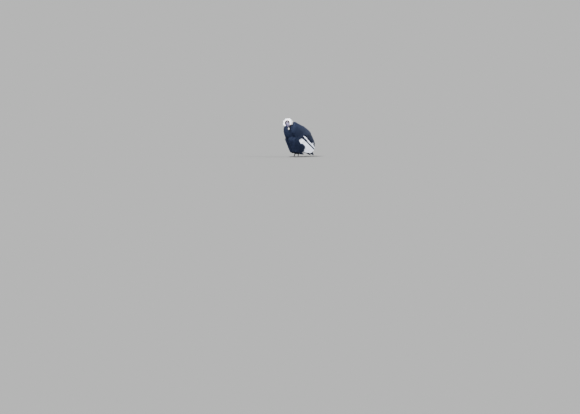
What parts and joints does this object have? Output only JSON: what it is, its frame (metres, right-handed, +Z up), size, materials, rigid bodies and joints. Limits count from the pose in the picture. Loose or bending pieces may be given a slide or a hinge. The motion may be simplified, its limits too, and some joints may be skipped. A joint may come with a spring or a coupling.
{
  "type": "andean condor",
  "caption": "Life-size still model of an adult male Andean condor, standing with folded wings, white neck ruff and white wing panels, its head bowed to its left.",
  "frame": {"origin": "on the ground under the middle of the bird's overall box", "axes": "+Z up, the bird faces -Y, its left side is +X"},
  "size_m": [0.4002, 0.8039, 0.906],
  "materials": {
    "black_feathers": "black contour feathers with a faint blue sheen",
    "white_feathers": "white and silver flight feathers with dark inner webs",
    "white_down": "soft white down",
    "bare_skin": "wrinkled bare grey-violet skin",
    "comb_skin": "fleshy, warty dark grey skin",
    "bill": "smooth ivory horn, dark at the base",
    "eye": "wet brown eye",
    "leg_scales": "dull grey scaly skin",
    "claw_horn": "dark horn, worn dull"
  },
  "bodies": {
    "root": {"torso": "black_feathers", "neck": "bare_skin", "ruff": "white_down", "head": "bare_skin", "bill_upper": "bill", "bill_lower": "bill", "comb": "comb_skin", "wattle": "comb_skin", "eye_left": "eye", "eye_right": "eye", "tail": "black_feathers", "wing_left": "black_feathers", "secondaries_left": "white_feathers", "primaries_left": "black_feathers", "thigh_left": "black_feathers", "tarsus_left": "leg_scales", "foot_left": "leg_scales", "claw_left_middle": "claw_horn", "claw_left_inner": "claw_horn", "claw_left_outer": "claw_horn", "claw_left_hind": "claw_horn", "wing_right": "black_feathers", "secondaries_right": "white_feathers", "primaries_right": "black_feathers", "thigh_right": "black_feathers", "tarsus_right": "leg_scales", "foot_right": "leg_scales", "claw_right_middle": "claw_horn", "claw_right_inner": "claw_horn", "claw_right_outer": "claw_horn", "claw_right_hind": "claw_horn"}
  },
  "joints": []
}
